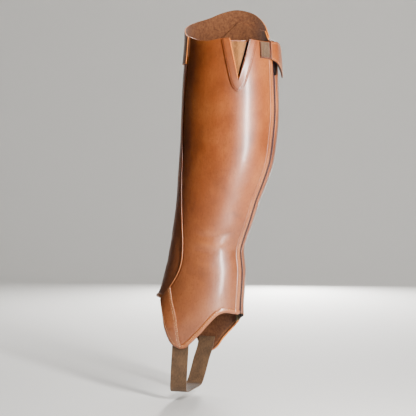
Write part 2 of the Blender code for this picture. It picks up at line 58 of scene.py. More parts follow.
# Height, then the depth of the shin and of the calf and half the width of the leg there.
LEG = np.array([
    (40, -185, 20, 37.0), (71, -168, 20, 39.5), (90, -138, 18, 41.0), (105, -113, 16, 41.5),
    (125, -95, 16, 41.5), (137, -88, 17, 41.0), (162, -81, 18, 39.5), (187, -75, 16, 38.5),
    (200, -73, 19, 39.0), (225, -69, 28, 41.5), (250, -66, 36, 44.5), (275, -64, 46, 48.0),
    (300, -62, 54, 51.0), (340, -60, 59, 54.0), (362, -59, 60, 54.5), (400, -57, 59, 55.0),
    (447, -53, 56, 55.5), (475, -52, 54, 56.5), (505, -52, 53, 57.5),
])
FLATTER_FRONT = 0.10

# Edges and seams, as (angle, height).
TOP_EDGE = (
    (-180, 444), (-165, 444), (-150, 449), (-134, 457.5), (-126, 473), (-112, 487), (-98, 493.5),
    (-82, 496), (-65, 492), (-45, 483.5), (-15, 473.5), (12, 463), (40, 450.5), (72, 442.5),
    (104, 444.5), (130, 443), (150, 442), (180, 444),
)
BOTTOM_EDGE = (
    (-170, 106), (-156, 102), (-148, 98), (-136, 87), (-127, 74), (-122, 62), (-116, 55.5),
    (-110, 57.5), (-102, 72), (-89, 93), (-76, 112), (-62, 127), (-40, 131), (0, 128),
    (30, 128.5), (42, 126.5), (51, 119.5), (67, 104.5), (80, 92.5), (90, 81.5), (97, 73),
    (102, 69), (105, 68), (108.5, 70.5), (116, 87.5), (122.5, 101.5), (130.5, 110.5),
    (141, 113), (158, 110.5), (185, 108),
)
FRONT_SEAM = (
    (39.4, 128), (52.6, 143.7), (60.5, 156.5), (64.6, 169), (65, 182.5), (61, 201), (54, 219),
    (46, 245), (40, 275), (36, 312), (35, 350), (37, 400), (40, 451),
)
SEAM_GAP_DEG = 0.3
INNER_BACK, INNER_MIDDLE = 167.6, 110.0
NOTCH_LEFT = (104.7, 443.5)
NOTCH_RIGHT = (130.3, 443.0)
NOTCH_TIP = (114.2, 395.0)


def smooth(places, values, at):
    """A smooth curve through values at rising places, read at one place or at many."""
    places, values = np.asarray(places, float), np.asarray(values, float)
    last = len(places) - 1
    before = np.maximum(np.arange(last + 1) - 1, 0)
    after = np.minimum(np.arange(last + 1) + 1, last)
    slopes = (values[after] - values[before]) / (places[after] - places[before])
    i = np.clip(np.searchsorted(places, at, side="left") - 1, 0, last - 1)
    span = places[i + 1] - places[i]
    t = np.clip((at - places[i]) / span, 0.0, 1.0)
    rise = values[i + 1] - values[i]
    start, end = slopes[i] * span, slopes[i + 1] * span
    return values[i] + start * t + (3 * rise - 2 * start - end) * t**2 + (start + end - 2 * rise) * t**3


def leg_point(angle, height, out):
    """Points of the leg's surface at angles and heights, moved out along its normal, in metres."""
    angle, height, out = np.broadcast_arrays(angle, height, out)
    shin, calf, half_width = (smooth(LEG[:, 0], LEG[:, k], height) for k in (1, 2, 3))
    depth = (calf - shin) / 2
    sine, cosine = np.sin(np.radians(angle)), np.cos(np.radians(angle))
    x = half_width * sine * (1 - FLATTER_FRONT * cosine)
    y = (shin + calf) / 2 - depth * cosine
    along_x = half_width * (cosine * (1 - FLATTER_FRONT * cosine) + FLATTER_FRONT * sine**2)
    along_y = depth * sine
    length = np.hypot(along_x, along_y)
    x = x + out * along_y / length
    y = y - out * along_x / length
    return np.stack([x, y, height - CALF_HEIGHT], axis=-1) * MM


def edge_height(edge, angle):
    """The height of an edge at an angle; round the back its angles go on below -180."""
    row = np.array(edge, float)
    angle = np.where(np.asarray(angle) > row[-1, 0], np.asarray(angle) - 360.0, angle)
    return smooth(row[:, 0], row[:, 1], angle)


def edge_angle(edge, height):
    row = np.array(edge, float)
    return smooth(row[:, 1], row[:, 0], height)


def between(start, end, t):
    return start + (end - start) * t


def bottom(angle):
    return edge_height(BOTTOM_EDGE, angle)


def top(angle):
    return edge_height(TOP_EDGE, angle)


def lengths_along(line):
    return np.concatenate([[0], np.cumsum(np.linalg.norm(np.diff(line, axis=0), axis=1))])


def line_on_leg(row, out, step=0.5):
    """Points every step millimetres along a smooth line through a row of (angle, height)."""
    row = np.array(row, float)
    reach = lengths_along(leg_point(row[:, 0], row[:, 1], out) / MM)
    count = max(int(reach[-1] / step), 2)
    at = np.linspace(0, reach[-1], count + 1)
    return leg_point(smooth(reach, row[:, 0], at), smooth(reach, row[:, 1], at), out)


def gap_to(points, line):
    """How far points are from a line of points, in millimetres, and how far along it, 0 to 1."""
    gap = np.full(len(points), 1e3)
    along = np.zeros(len(points))
    low, high = line.min(axis=0) - 0.02, line.max(axis=0) + 0.02
    near = np.flatnonzero(((points > low) & (points < high)).all(axis=1))
    for some in np.array_split(near, len(near) // 4000 + 1):
        away = np.linalg.norm(points[some, None] - line[None], axis=2)
        first = away.argmin(axis=1)
        gap[some] = away[np.arange(len(some)), first] / MM
        along[some] = first / (len(line) - 1)
    return gap, along


def hump(gap, at, width):
    """A soft ridge: 1 where a gap is at its place, falling away over a width."""
    return np.exp(-(((gap - at) / width) ** 2))


def eased(share):
    share = np.clip(share, 0, 1)
    return share * share * (3 - 2 * share)


def folds(points, table):
    """The rise of a table's soft folds at each point, in millimetres, fading to both ends of each."""
    rise = 0.0
    for row, width, depth in table:
        gap, along = gap_to(points, line_on_leg(row, LEATHER / 2, 1.0))
        rise = rise + depth * hump(gap, 0, width) * eased(np.minimum(along, 1 - along) / FOLD_FADE)
    return rise


# Soft creases, as (row of angle and height, width, rise): the ankle breaks where the foot
# bends, and the calf keeps a few long shallow dents from being worn.
INNER_FOLDS = (
    (((70, 214), (96, 206), (122, 208), (150, 216)), 5.0, -0.55),
    (((78, 203), (98, 197), (120, 196), (138, 201)), 4.0, 0.40),
    (((72, 192), (90, 187), (110, 184), (128, 187)), 4.5, -0.45),
    (((84, 176), (100, 171), (118, 170)), 4.0, 0.30),
    (((66, 166), (84, 158), (104, 152)), 5.0, -0.35),
    (((120, 240), (138, 232), (156, 232)), 6.0, -0.45),
    (((126, 258), (142, 250), (160, 252)), 6.0, 0.30),
    (((96, 300), (100, 330), (98, 362)), 8.0, -0.30),
    (((134, 296), (140, 330), (138, 360)), 9.0, 0.30),
    (((60, 300), (70, 340), (72, 384)), 10.0, -0.25),
)


def uneven(angle, height):
    """Leather over a leg is never true: long low swells, in millimetres."""
    a, h = np.radians(angle), height
    return (
        0.20 * np.sin(2.3 * a + 0.031 * h + 0.7) * np.sin(0.042 * h - 1.7 * a)
        + 0.08 * np.sin(5.1 * a + 1.9 + 0.017 * h) * np.sin(0.067 * h + 0.4)
        + 0.04 * np.sin(7.7 * a - 0.11 * h)
    )


def rolled(gap):
    """A turned hem: it swells, falls away at the cut, and is drawn in along its stitches."""
    return hump(gap, 1.8, 1.8) - 0.9 * hump(gap, 0, 0.9) - 0.45 * hump(gap, HEM_DRAWN_IN, 1.1)


def moulded(angle, height, out, relief):
    """Leather laid at a distance out and raised by its relief, which it keeps as well: the finish paints
    it darker in its creases, as painted shade, and paler where it stands up, as wear and painted
    highlight.
    """
    wear_and_shading = np.broadcast_to(relief, np.shape(angle))[:, None]
    return np.hstack([leg_point(angle, height, out + relief), wear_and_shading])


def grid(name, columns, rows, place, size):
    """A grid bent to shape by place(u, v), with its map laid out in metres for size in millimetres."""
    bpy.ops.object.select_all(action="DESELECT")
    bpy.ops.mesh.primitive_grid_add(x_subdivisions=columns, y_subdivisions=rows, size=2)
    piece = bpy.context.object
    piece.name = piece.data.name = name
    mesh = piece.data
    spots = np.empty(len(mesh.vertices) * 3)
    mesh.vertices.foreach_get("co", spots)
    u, v = (spots.reshape(-1, 3)[:, :2].T + 1) / 2
    placed = place(u, v)
    mesh.vertices.foreach_set("co", np.ascontiguousarray(placed[:, :3]).ravel())
    # A fourth value is kept on the points, and the finishes paint from it: wear, painted highlight and
    # painted shade.
    if placed.shape[1] == 4:
        wear_and_shading = mesh.attributes.new("wear_and_shading", "FLOAT", "POINT")
        wear_and_shading.data.foreach_set("value", np.ascontiguousarray(placed[:, 3]))
    layout = mesh.uv_layers.active.data
    flat = np.empty(len(layout) * 2)
    layout.foreach_get("uv", flat)
    flat = flat.reshape(-1, 2) * np.array(size) * MM
    layout.foreach_set("uv", flat.ravel())
    mesh.update()
    return piece


def pick(*pieces):
    """Selects these pieces alone, with the first one active."""
    bpy.ops.object.select_all(action="DESELECT")
    for piece in pieces:
        piece.select_set(True)
    bpy.context.view_layer.objects.active = pieces[0]


def weld(piece, within=0.02, outward=False):
    """Joins a piece's points that are within some millimetres, and turns its faces outward if asked."""
    pick(piece)
    bpy.ops.object.mode_set(mode="EDIT")
    bpy.ops.mesh.select_all(action="SELECT")
    bpy.ops.mesh.remove_doubles(threshold=within * MM)
    if outward:
        bpy.ops.mesh.normals_make_consistent(inside=False)
    bpy.ops.object.mode_set(mode="OBJECT")


def fitted(piece, solid=None):
    """Rides a piece on the chap, in place of its solid where it has one."""
    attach(piece, "chap")
    if solid:
        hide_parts(solid)
    return piece


def walled(piece, thick, finishes, edge=0.35, offset=1):
    """Gives a bent grid a wall with rounded edges, and finishes: outer side, inner side, cut edge."""
    for finish in finishes:
        piece.data.materials.append(finish)
    wall = piece.modifiers.new("wall", "SOLIDIFY")
    wall.thickness = thick * MM
    wall.offset = offset
    wall.material_offset = min(1, len(finishes) - 1)
    wall.material_offset_rim = min(2, len(finishes) - 1)
    rounding = piece.modifiers.new("rounding", "BEVEL")
    rounding.width = edge * MM
    rounding.segments = 2
    rounding.limit_method = "ANGLE"
    rounding.angle_limit = math.radians(50)
    pick(piece)
    bpy.ops.object.modifier_apply(modifier="wall")
    bpy.ops.object.modifier_apply(modifier="rounding")
    bpy.ops.object.shade_smooth()
    return piece


def hex_colour(code):
    """An sRGB hex colour as the linear values that a shader takes."""
    channels = [int(code[k : k + 2], 16) / 255 for k in (1, 3, 5)]
    return (*(c / 12.92 if c <= 0.04045 else ((c + 0.055) / 1.055) ** 2.4 for c in channels), 1.0)


def new_finish(name):
    made = bpy.data.materials.new(name)
    made.use_nodes = True
    return made, made.node_tree.nodes["Principled BSDF"]


def fill(made, added, inputs):
    """Sets a node's inputs, each to a value or to a socket that is linked to it."""
    for key, value in dict(inputs).items():
        if isinstance(value, bpy.types.NodeSocket):
            made.node_tree.links.new(value, added.inputs[key])
        else:
            added.inputs[key].default_value = value


def node(made, kind, inputs=(), **settings):
    """Adds one node, makes its settings, then sets its inputs."""
    added = made.node_tree.nodes.new(kind)
    for key, value in settings.items():
        setattr(added, key, value)
    fill(made, added, inputs)
    return added


def ramp(made, value, stops):
    """A colour ramp with its stops as (position, hex colour)."""
    added = node(made, "ShaderNodeValToRGB", {"Fac": value})
    elements = added.color_ramp.elements
    while len(elements) < len(stops):
        elements.new(0.5)
    for element, (position, code) in zip(elements, stops):
        element.position = position
        element.color = hex_colour(code)
    return added.outputs["Color"]


def mixed(made, share, first, code):
    """A colour mixed with a hex colour, by a share."""
    inputs = {0: share, 6: first, 7: hex_colour(code)}
    return node(made, "ShaderNodeMix", inputs, data_type="RGBA").outputs[2]


def spread(made, value, low, high, to_low, to_high):
    """A value read from one range and given in another."""
    return node(
        made, "ShaderNodeMapRange",
        {"Value": value, "From Min": low, "From Max": high, "To Min": to_low, "To Max": to_high},
    ).outputs["Result"]


def per_metre(size):
    """A texture's scale for marks of a size in millimetres."""
    return 1000.0 / size


def on_object(made):
    return node(made, "ShaderNodeTexCoord").outputs["Object"]


def attribute(made, name):
    return node(made, "ShaderNodeAttribute", attribute_name=name).outputs["Fac"]


def noise(made, place, size, detail, roughness=0.5, distortion=0.0):
    """Cloudy marks of a size in millimetres."""
    return node(
        made, "ShaderNodeTexNoise",
        {"Vector": place, "Scale": per_metre(size), "Detail": detail, "Roughness": roughness,
         "Distortion": distortion},
    ).outputs["Fac"]


def bump(made, height, strength, distance, under=None):
    """The normal of a height raised over another normal, by a distance in millimetres."""
    inputs = {"Height": height, "Strength": strength, "Distance": distance * MM}
    if under:
        inputs["Normal"] = under
    return node(made, "ShaderNodeBump", inputs).outputs["Normal"]


def waxed_leather(name, deep, body, pale, crease_shade, scuffed):
    """Full-grain cowhide, dyed cognac and waxed: cloudy in patches of 20 to 40 mm, brushed in
    slanting streaks 6 mm long, with fine pores, 1 to 2 mm grain and a thin wax gloss."""
    made, shader = new_finish(name)
    place = on_object(made)
    slanted = node(
        made, "ShaderNodeMapping",
        {"Vector": place, "Rotation": (math.radians(35), 0.0, 0.0), "Scale": (1.0, 1.0, 0.24)},
    ).outputs["Vector"]
    clouds = noise(made, place, 48, 4.0, distortion=0.3)
    streaks = noise(made, slanted, 1.5, 3.0)
    pull_up = noise(made, place, 11, 5.0, 0.6)
    speckle = noise(made, place, 2.6, 3.0, 0.65)
    grain = node(
        made, "ShaderNodeTexVoronoi", {"Vector": place, "Scale": per_metre(1.3), "Randomness": 1.0},
        feature="DISTANCE_TO_EDGE",
    ).outputs["Distance"]
    pores = node(
        made, "ShaderNodeTexVoronoi", {"Vector": place, "Scale": per_metre(0.8), "Randomness": 1.0},
    ).outputs["Distance"]
    up = node(made, "ShaderNodeSeparateXYZ", {"Vector": place}).outputs["Z"]
    wear_and_shading = attribute(made, "wear_and_shading")
    colour = ramp(made, clouds, ((0.28, deep), (0.50, body), (0.80, pale)))
    # It is scuffed duller towards the ankle. Creases are painted darker, as painted shade, and what stands
    # up is painted paler, partly as rub wear and partly as painted highlight. Each row has a mark, the two
    # values it is read between, its shares, its colour.
    for mark, low, high, to_low, to_high, shade in (
        (up, -0.08, -0.17, 0.0, 0.40, scuffed), (pull_up, 0.45, 0.75, 0.0, 0.30, pale),
        (streaks, 0.40, 0.66, 0.0, 0.25, deep), (speckle, 0.52, 0.75, 0.0, 0.55, deep),
        (pores, 0.0, 0.22, 0.55, 0.0, deep), (wear_and_shading, -0.35, -0.95, 0.0, 0.75, crease_shade),
        (wear_and_shading, 0.15, 0.8, 0.0, 0.60, pale),
    ):
        colour = mixed(made, spread(made, mark, low, high, to_low, to_high), colour, shade)
    pits = bump(made, spread(made, pores, 0.0, 0.3, 0.0, 1.0), 0.20, 0.10)
    cells = bump(made, spread(made, grain, 0.0, 0.16, 0.0, 1.0), 0.25, 0.16, pits)
    fill(made, shader, {
        "Base Color": colour, "Normal": bump(made, speckle, 0.30, 0.40, cells),
        "Roughness": spread(made, speckle, 0.3, 0.7, 0.37, 0.50),
        "Specular IOR Level": 0.6, "Coat Weight": 0.70, "Coat Roughness": 0.24,
    })
    return made


def raw_leather(name, shade, light, size, roughness=0.9):
    """Leather without its grain: the flesh side's nap, or the fibres of a cut edge."""
    made, shader = new_finish(name)
    nap = noise(made, on_object(made), size, 6.0, 0.7)
    fill(made, shader, {
        "Base Color": ramp(made, nap, ((0.35, shade), (0.65, light))), "Normal": bump(made, nap, 0.5, 0.3),
        "Roughness": roughness, "Sheen Weight": 0.3, "Sheen Roughness": 0.5,
    })
    return made


cognac = waxed_leather("waxed_cognac_cowhide", "#733d20", "#8f502c", "#ac6c40", "#48200f", "#8a6049")
flesh = raw_leather("flesh_side_of_cowhide", "#5b3620", "#7d5234", 3.0)
cut_edge = raw_leather("bright_cut_edge", "#b9601f", "#e6923f", 0.8, 0.6)
# The strap's and the tab's cut edges are inked dark; along the strap's lower edge the dark is also painted
# shade.
inked_shaded_edge = raw_leather("dark_inked_shaded_edge", "#2e140a", "#512612", 0.8, 0.5)
LEATHER_FINISHES = (cognac, flesh, cut_edge)
INKED_SHADED_FINISHES = (cognac, flesh, inked_shaded_edge)


def thread(name, shade, light):
    """Waxed thread, mottled between two tones in small patches: painted light and painted shade that stand
    for its twisted plies.
    """
    made, shader = new_finish(name)
    colour = ramp(made, noise(made, on_object(made), 0.6, 2.0), ((0.38, shade), (0.6, light)))
    fill(made, shader, {"Base Color": colour, "Roughness": 0.55, "Sheen Weight": 0.2})
    return made


cream_thread = thread("cream_waxed_thread", "#9a6a42", "#d8b083")
russet_thread = thread("russet_waxed_thread", "#47200f", "#743a1f")


def one_of_many(size):
    """A small rounded bead, long along X, that is copied many times: its points and its faces."""
    bpy.ops.object.select_all(action="DESELECT")
    bpy.ops.mesh.primitive_uv_sphere_add(segments=6, ring_count=5, radius=0.5)
    bead = bpy.context.object
    points = np.array([(v.co.z, v.co.y, v.co.x) for v in bead.data.vertices]) * size
    faces = [list(face.vertices)[::-1] for face in bead.data.polygons]
    bpy.data.objects.remove(bead, do_unlink=True)
    return points * MM, faces


def laid_out(name, bead, places, finish):
    """Copies of a bead at many places, each a 4 by 4 matrix, as one mesh."""
    points, faces = bead
    spots, all_faces = [], []
    for k, place in enumerate(places):
        turn, move = np.array(place.to_3x3()), np.array(place.translation)
        spots.append(points @ turn.T + move)
        all_faces += [[n + k * len(points) for n in face] for face in faces]
    mesh = bpy.data.meshes.new(name)
    mesh.from_pydata(np.concatenate(spots).tolist(), [], all_faces)
    piece = bpy.data.objects.new(name, mesh)
    bpy.context.scene.collection.objects.link(piece)
    mesh.materials.append(finish)
    pick(piece)
    bpy.ops.object.shade_smooth()
    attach(piece, "chap")
    return piece


STITCH = one_of_many((2.5, 0.55, 0.5))


def sew(name, cloth, rows, finish, pitch=3.1, bead=STITCH, sunk=0.06):
    """A stitch every pitch millimetres on the cloth, along rows of (points, millimetres to its left)."""
    mesh = cloth.data
    tree = BVHTree.FromPolygons([v.co for v in mesh.vertices], [p.vertices for p in mesh.polygons])
    places = []
    for line, aside in rows:
        reach = lengths_along(line)
        count = max(int(reach[-1] / (pitch * MM)), 1)
        at = np.linspace(0, reach[-1], count + 1)
        line = np.stack([np.interp(at, reach, line[:, k]) for k in range(3)], axis=1)
        for start, end in zip(line, line[1:]):
            along = Vector(end - start).normalized()
            middle = Vector((start + end) / 2)
            normal = tree.find_nearest(middle)[1]
            spot, normal = tree.find_nearest(middle + normal.cross(along) * aside * MM)[:2]
            along = (along - normal * along.dot(normal)).normalized()
            turn = Matrix((along, normal.cross(along), normal)).transposed().to_4x4()
            places.append(Matrix.Translation(spot - normal * sunk * MM) @ turn)
    return laid_out(name, bead, places, finish)


def seam_right(height):
    return edge_angle(FRONT_SEAM, height) + SEAM_GAP_DEG


def seam_left(height):
    return edge_angle(FRONT_SEAM, height) - SEAM_GAP_DEG


def upright(angle, low, high, step=12):
    """A row that runs straight up the leg at an angle."""
    return [(angle, height) for height in range(low, high, step)]


BOTTOM_LINE = line_on_leg(BOTTOM_EDGE, LEATHER / 2)
SEAM_LINE = line_on_leg(FRONT_SEAM, LEATHER / 2)
BESIDE_ZIP = upright(INNER_BACK, 104, 446)
ZIP_EDGE_LINE = line_on_leg(BESIDE_ZIP, LEATHER / 2)
ZIP_GROOVE, ZIP_BAND = 8.4, 4.0


def hide_relief(angle, height, table):
    """How a whole hide stands off the leg: its swells, folds and hem. Its front seam is turned in."""
    points = leg_point(angle, height, LEATHER / 2)
    rise = uneven(angle, height) + folds(points, table) + rolled(gap_to(points, BOTTOM_LINE)[0])
    return points, rise - 0.9 * hump(gap_to(points, SEAM_LINE)[0], 0, 1.4)


def inner_relief(angle, height):
    points, rise = hide_relief(angle, height, INNER_FOLDS)
    # Beside the zip the hide is doubled over a cord, which stands up as a band behind a narrow sewn
    # groove. The band is painted paler, as painted highlight, and the groove darker, as painted shade.
    to_zip = gap_to(points, ZIP_EDGE_LINE)[0]
    band = 0.9 * hump(to_zip, ZIP_BAND, 2.0) - 0.9 * hump(to_zip, 0, 0.8)
    return rise + band - 1.1 * hump(to_zip, ZIP_GROOVE, 0.8)


def laid(u, v, left, right, high, start, rounds=14):
    """The angle and height at shares u and v of a hide. Its edges lean, so they are found in rounds."""
    height = between(bottom(start), high(start), v)
    for _ in range(rounds):
        angle = between(left(height), right(height), u)
        height = between(bottom(angle), high(angle), v)
    return angle, height


def half_of_inner(name, columns, rows, left, right, crowded=1.0):
    """One side of the V, with one row on its tip. Its columns may be crowded to the right."""
    angle, height = NOTCH_TIP
    tip_share = (height - bottom(angle)) / (top(angle) - bottom(angle))
    tip_row = round(rows * tip_share) / rows

    def place(u, v):
        u = 1 - (1 - u) ** crowded
        above = between(tip_share, 1, (v - tip_row) / (1 - tip_row))
        v = np.where(v < tip_row, v / tip_row * tip_share, above)
        angle, height = laid(u, v, left, right, top, INNER_MIDDLE)
        return moulded(angle, height, 0, inner_relief(angle, height))

    return grid(name, columns, rows, place, (60, 375))


def notch_side(corner):
    """The V's edge as an angle at each height: straight up below its tip, then out to its corner."""

    def at(height):
        up = np.clip((height - NOTCH_TIP[1]) / (corner[1] - NOTCH_TIP[1]), 0, 1.05)
        return between(NOTCH_TIP[0], corner[0], up)

    return at


front_half = half_of_inner("inner_side", 56, 260, seam_right, notch_side(NOTCH_LEFT))
back_half = half_of_inner(
    "inner_side_back", 66, 260, notch_side(NOTCH_RIGHT), lambda height: INNER_BACK, crowded=1.4,
)
pick(front_half, back_half)
bpy.ops.object.join()
weld(front_half)
inner_side = fitted(walled(front_half, LEATHER, LEATHER_FINISHES), "inner_panel")

inner_hem = line_on_leg([p for p in BOTTOM_EDGE if 42 <= p[0] <= 158], ON_LEATHER)
sewn_hem = sew("inner_hem_stitches", inner_side, [(inner_hem, HEM_STITCHES)], cream_thread)
beside_zip = line_on_leg(BESIDE_ZIP[2:-2], ON_LEATHER)
sewn_zip = sew("inner_zip_stitches", inner_side, [(beside_zip, 7.3)], cream_thread, sunk=0.15)

# ---------------------------------------------------------------------------
# Outer side. The shin and the whole outer side are one hide of the same leather, from
# the rear elastic round the front to the seam, where both hides are sewn to the piping.

OVERLAY_OUT = 2.3
OVERLAY = 1.5
KNEE_LOWER_EDGE = ((-134, 456.5), (-107, 463.5), (-86, 472), (-45, 433))
KNEE_FRONT_EDGE = ((-45, 433), (-10, 421), (39.4, 418))
STRAP_LOWER_EDGE = ((-155, 427), (-137, 428.6), (-109, 435.6), (-89, 443.5), (-66.5, 450))
STRAP_UPPER_EDGE = ((-155, 448.5), (-136, 454.8), (-107, 462.7), (-87, 471))
OUTER_BACK, OUTER_MIDDLE = -145.8, -60.0
KNEE_LAP = 8.0
HIDDEN_EDGE = 1.5

OUTER_FOLDS = (
    (((-128, 214), (-104, 206), (-80, 207), (-56, 214)), 5.0, -0.55),
    (((-120, 202), (-98, 196), (-74, 196)), 4.0, 0.40),
    (((-122, 190), (-98, 184), (-72, 186)), 4.5, -0.45),
    (((-30, 204), (0, 200), (34, 206)), 5.0, -0.40),
    (((-34, 190), (0, 186), (44, 191)), 4.5, 0.35),
    (((-24, 176), (6, 172), (46, 177)), 4.5, -0.35),
    (((-70, 300), (-76, 336), (-72, 372)), 9.0, -0.30),
    (((-118, 286), (-124, 330), (-120, 368)), 9.0, 0.30),
    (((-136, 240), (-118, 232), (-100, 234)), 6.0, -0.40),
    (((4, 300), (8, 340), (6, 384)), 9.0, -0.22),
    (((-64, 440), (-50, 426), (-34, 416)), 4.0, -0.35),
    (((-60, 428), (-44, 412), (-30, 404)), 3.5, 0.30),
)
# Fine pleats where the foot bends, across the toe leaf and out over the hide beside it.
PLEATS = (
    (((-119, 73), (-109, 72.5), (-100, 70)), 1.2, -0.40),
    (((-118, 78), (-106, 78.5), (-97, 76)), 1.4, -0.55),
    (((-115, 84), (-103, 86), (-93, 83)), 1.2, -0.45),
    (((-114, 89), (-100, 92), (-89, 90)), 1.5, -0.60),
    (((-108, 96), (-96, 98.5), (-86, 95)), 1.1, -0.40),
    (((-108, 101), (-92, 104.5), (-81, 102)), 1.5, -0.60),
    (((-101, 108), (-88, 110.5), (-78, 108)), 1.2, -0.45),
    (((-100, 113), (-84, 117), (-73, 114.5)), 1.4, -0.55),
    (((-95, 120), (-80, 123.5), (-70, 121)), 1.1, -0.40),
    (((-92, 126), (-76, 130), (-66, 128)), 1.5, -0.50),
    (((-86, 135), (-72, 138), (-62, 136)), 1.3, -0.40),
    (((-80, 144), (-66, 147), (-57, 145)), 1.4, -0.30),
)


def knee_low(angle):
    """The knee piece's lower edge: along the strap, down the slant, then to the front seam."""
    slant = np.interp(angle, *np.array(KNEE_LOWER_EDGE, float).T)
    front = edge_height(KNEE_FRONT_EDGE, np.minimum(angle, KNEE_FRONT_EDGE[-1][0]))
    return np.where(np.asarray(angle) > KNEE_FRONT_EDGE[0][0], front, slant)


def outer_top(angle):
    under_knee = np.minimum(knee_low(angle) + KNEE_LAP, top(angle) - HIDDEN_EDGE)
    under_strap = edge_height(STRAP_UPPER_EDGE, angle) - HIDDEN_EDGE
    return np.where(np.asarray(angle) < KNEE_LOWER_EDGE[0][0], under_strap, under_knee)


def outer_relief(angle, height):
    rise = hide_relief(angle, height, OUTER_FOLDS + PLEATS)[1]
    # Nothing stands up under the knee piece and the strap.
    under = np.clip((height - knee_low(angle) + 6) / 6, 0, 1)
    return rise * (1 - under) - 0.1 * under


def outer_place(u, v):
    angle, height = laid(u, v**1.3, lambda height: OUTER_BACK, seam_left, outer_top, OUTER_MIDDLE)
    return moulded(angle, height, 0, outer_relief(angle, height))


outer_hide = grid("outer_side", 140, 310, outer_place, (200, 380))
outer_side = fitted(walled(outer_hide, LEATHER, LEATHER_FINISHES), "outer_panel")

outer_hem = line_on_leg([p for p in BOTTOM_EDGE if -142 <= p[0] <= 36], ON_LEATHER)
sewn_outer_hem = sew("outer_hem_stitches", outer_side, [(outer_hem, HEM_STITCHES)], cream_thread)
elastic_side = line_on_leg(upright(OUTER_BACK, 112, 436), ON_LEATHER)
sewn_elastic = sew("outer_back_stitches", outer_side, [(elastic_side, -2.2)], russet_thread)

# ---------------------------------------------------------------------------
# Knee piece and strap. The raised top is a second hide laid over the outer side. Its long
# slanted edge is left raw. A strap of the same hide runs back from the slant to the tab.

KNEE_BACK, KNEE_FRONT, KNEE_FOLLOWS_SEAM = -132.8, 39.0, 30.0
STRAP_BACK, STRAP_FRONT_LOW, STRAP_FRONT_HIGH, STRAP_EDGE_GAP = -155.0, -67.0, -87.6, 0.7

KNEE_FOLDS = (
    (((-86, 473), (-93, 479), (-101, 484), (-110, 487)), 1.7, -0.80),
    (((-89, 474), (-99, 478.5), (-109, 481), (-118, 480)), 1.5, -0.60),
    (((-84, 477), (-93, 484), (-102, 489)), 2.2, 0.45),
    (((-97, 472), (-106, 475), (-114, 476)), 1.8, 0.40),
    (((-84, 470), (-72, 464), (-62, 456)), 3.0, 0.35),
    (((-78, 478), (-64, 474), (-50, 464)), 3.6, -0.40),
    (((-40, 446), (-22, 452), (-4, 452)), 4.5, -0.35),
)


def knee_place(u, v):
    corner, share = KNEE_LOWER_EDGE[2][0], 0.3
    in_front = between(corner, KNEE_FRONT, (u - share) / (1 - share))
    angle = np.where(u < share, between(KNEE_BACK, corner, u / share), in_front)
    height = between(knee_low(angle), top(angle), v)
    followed = np.clip((angle - KNEE_FOLLOWS_SEAM) / (KNEE_FRONT - KNEE_FOLLOWS_SEAM), 0, 1)
    angle = between(angle, seam_left(height), followed)
    height = between(knee_low(angle), top(angle), v)
    rise = 0.25 * uneven(angle, height) + folds(leg_point(angle, height, OVERLAY_OUT), KNEE_FOLDS)
    return moulded(angle, height, OVERLAY_OUT, rise)


knee_top = walled(grid("knee_top", 130, 40, knee_place, (175, 45)), OVERLAY, LEATHER_FINISHES)
fitted(knee_top, "knee_piece")


def strap_place(u, v):
    low_angle = between(STRAP_BACK, STRAP_FRONT_LOW, u)
    high_angle = between(STRAP_BACK, STRAP_FRONT_HIGH, u)
    low = edge_height(STRAP_LOWER_EDGE, low_angle)
    high = edge_height(STRAP_UPPER_EDGE, high_angle) - STRAP_EDGE_GAP
    crown = 0.35 * np.sin(np.pi * v)
    return leg_point(between(low_angle, high_angle, v), between(low, high, v), OVERLAY_OUT + crown)


side_strap = walled(grid("side_strap", 72, 20, strap_place, (85, 24)), OVERLAY, INKED_SHADED_FINISHES)
fitted(side_strap, "top_strap")


def tube(name, path, radius, sides, finish):
    """A round cord along a path of points, its ends closed."""
    line = bpy.data.curves.new(name, "CURVE")
    line.dimensions = "3D"
    line.bevel_depth = radius * MM
    line.bevel_resolution = sides
    line.use_fill_caps = True
    spline = line.splines.new("POLY")
    spline.points.add(len(path) - 1)
    for point, spot in zip(spline.points, path):
        point.co = (*spot, 1)
    piece = bpy.data.objects.new(name, line)
    bpy.context.scene.collection.objects.link(piece)
    pick(piece)
    bpy.ops.object.convert(target="MESH")
    piece = bpy.context.object
    piece.data.materials.clear()
    piece.data.materials.append(finish)
    bpy.ops.object.shade_smooth()
    return piece


# The knee piece's raw edge stands proud as a bright line, round the corner over the strap.
RAW_EDGE_OUT = OVERLAY_OUT + 1.1
raw_edge_path = np.concatenate([
    line_on_leg(row, RAW_EDGE_OUT, 1.0)[1:] for row in (KNEE_LOWER_EDGE[:3], KNEE_LOWER_EDGE[2:])
])
fitted(tube("knee_raw_edge", raw_edge_path, 0.62, 2, cut_edge))

ON_OVERLAY = OVERLAY_OUT + OVERLAY + 0.3
knee_line = line_on_leg(KNEE_LOWER_EDGE[2:] + KNEE_FRONT_EDGE[1:], ON_OVERLAY)
sewn_knee = sew("knee_stitches", knee_top, [(knee_line, 2.2)], russet_thread)
sewn_strap = sew(
    "strap_stitches", side_strap,
    [(line_on_leg(STRAP_LOWER_EDGE, ON_OVERLAY), 1.8), (line_on_leg(STRAP_UPPER_EDGE, ON_OVERLAY), -2.4)],
    russet_thread,
)

# ---------------------------------------------------------------------------
# Toe leaves. A leaf of leather is laid on each lower front edge, where the boot rubs, and
# sewn with two rows. The outer one is pleated by the foot's bending.

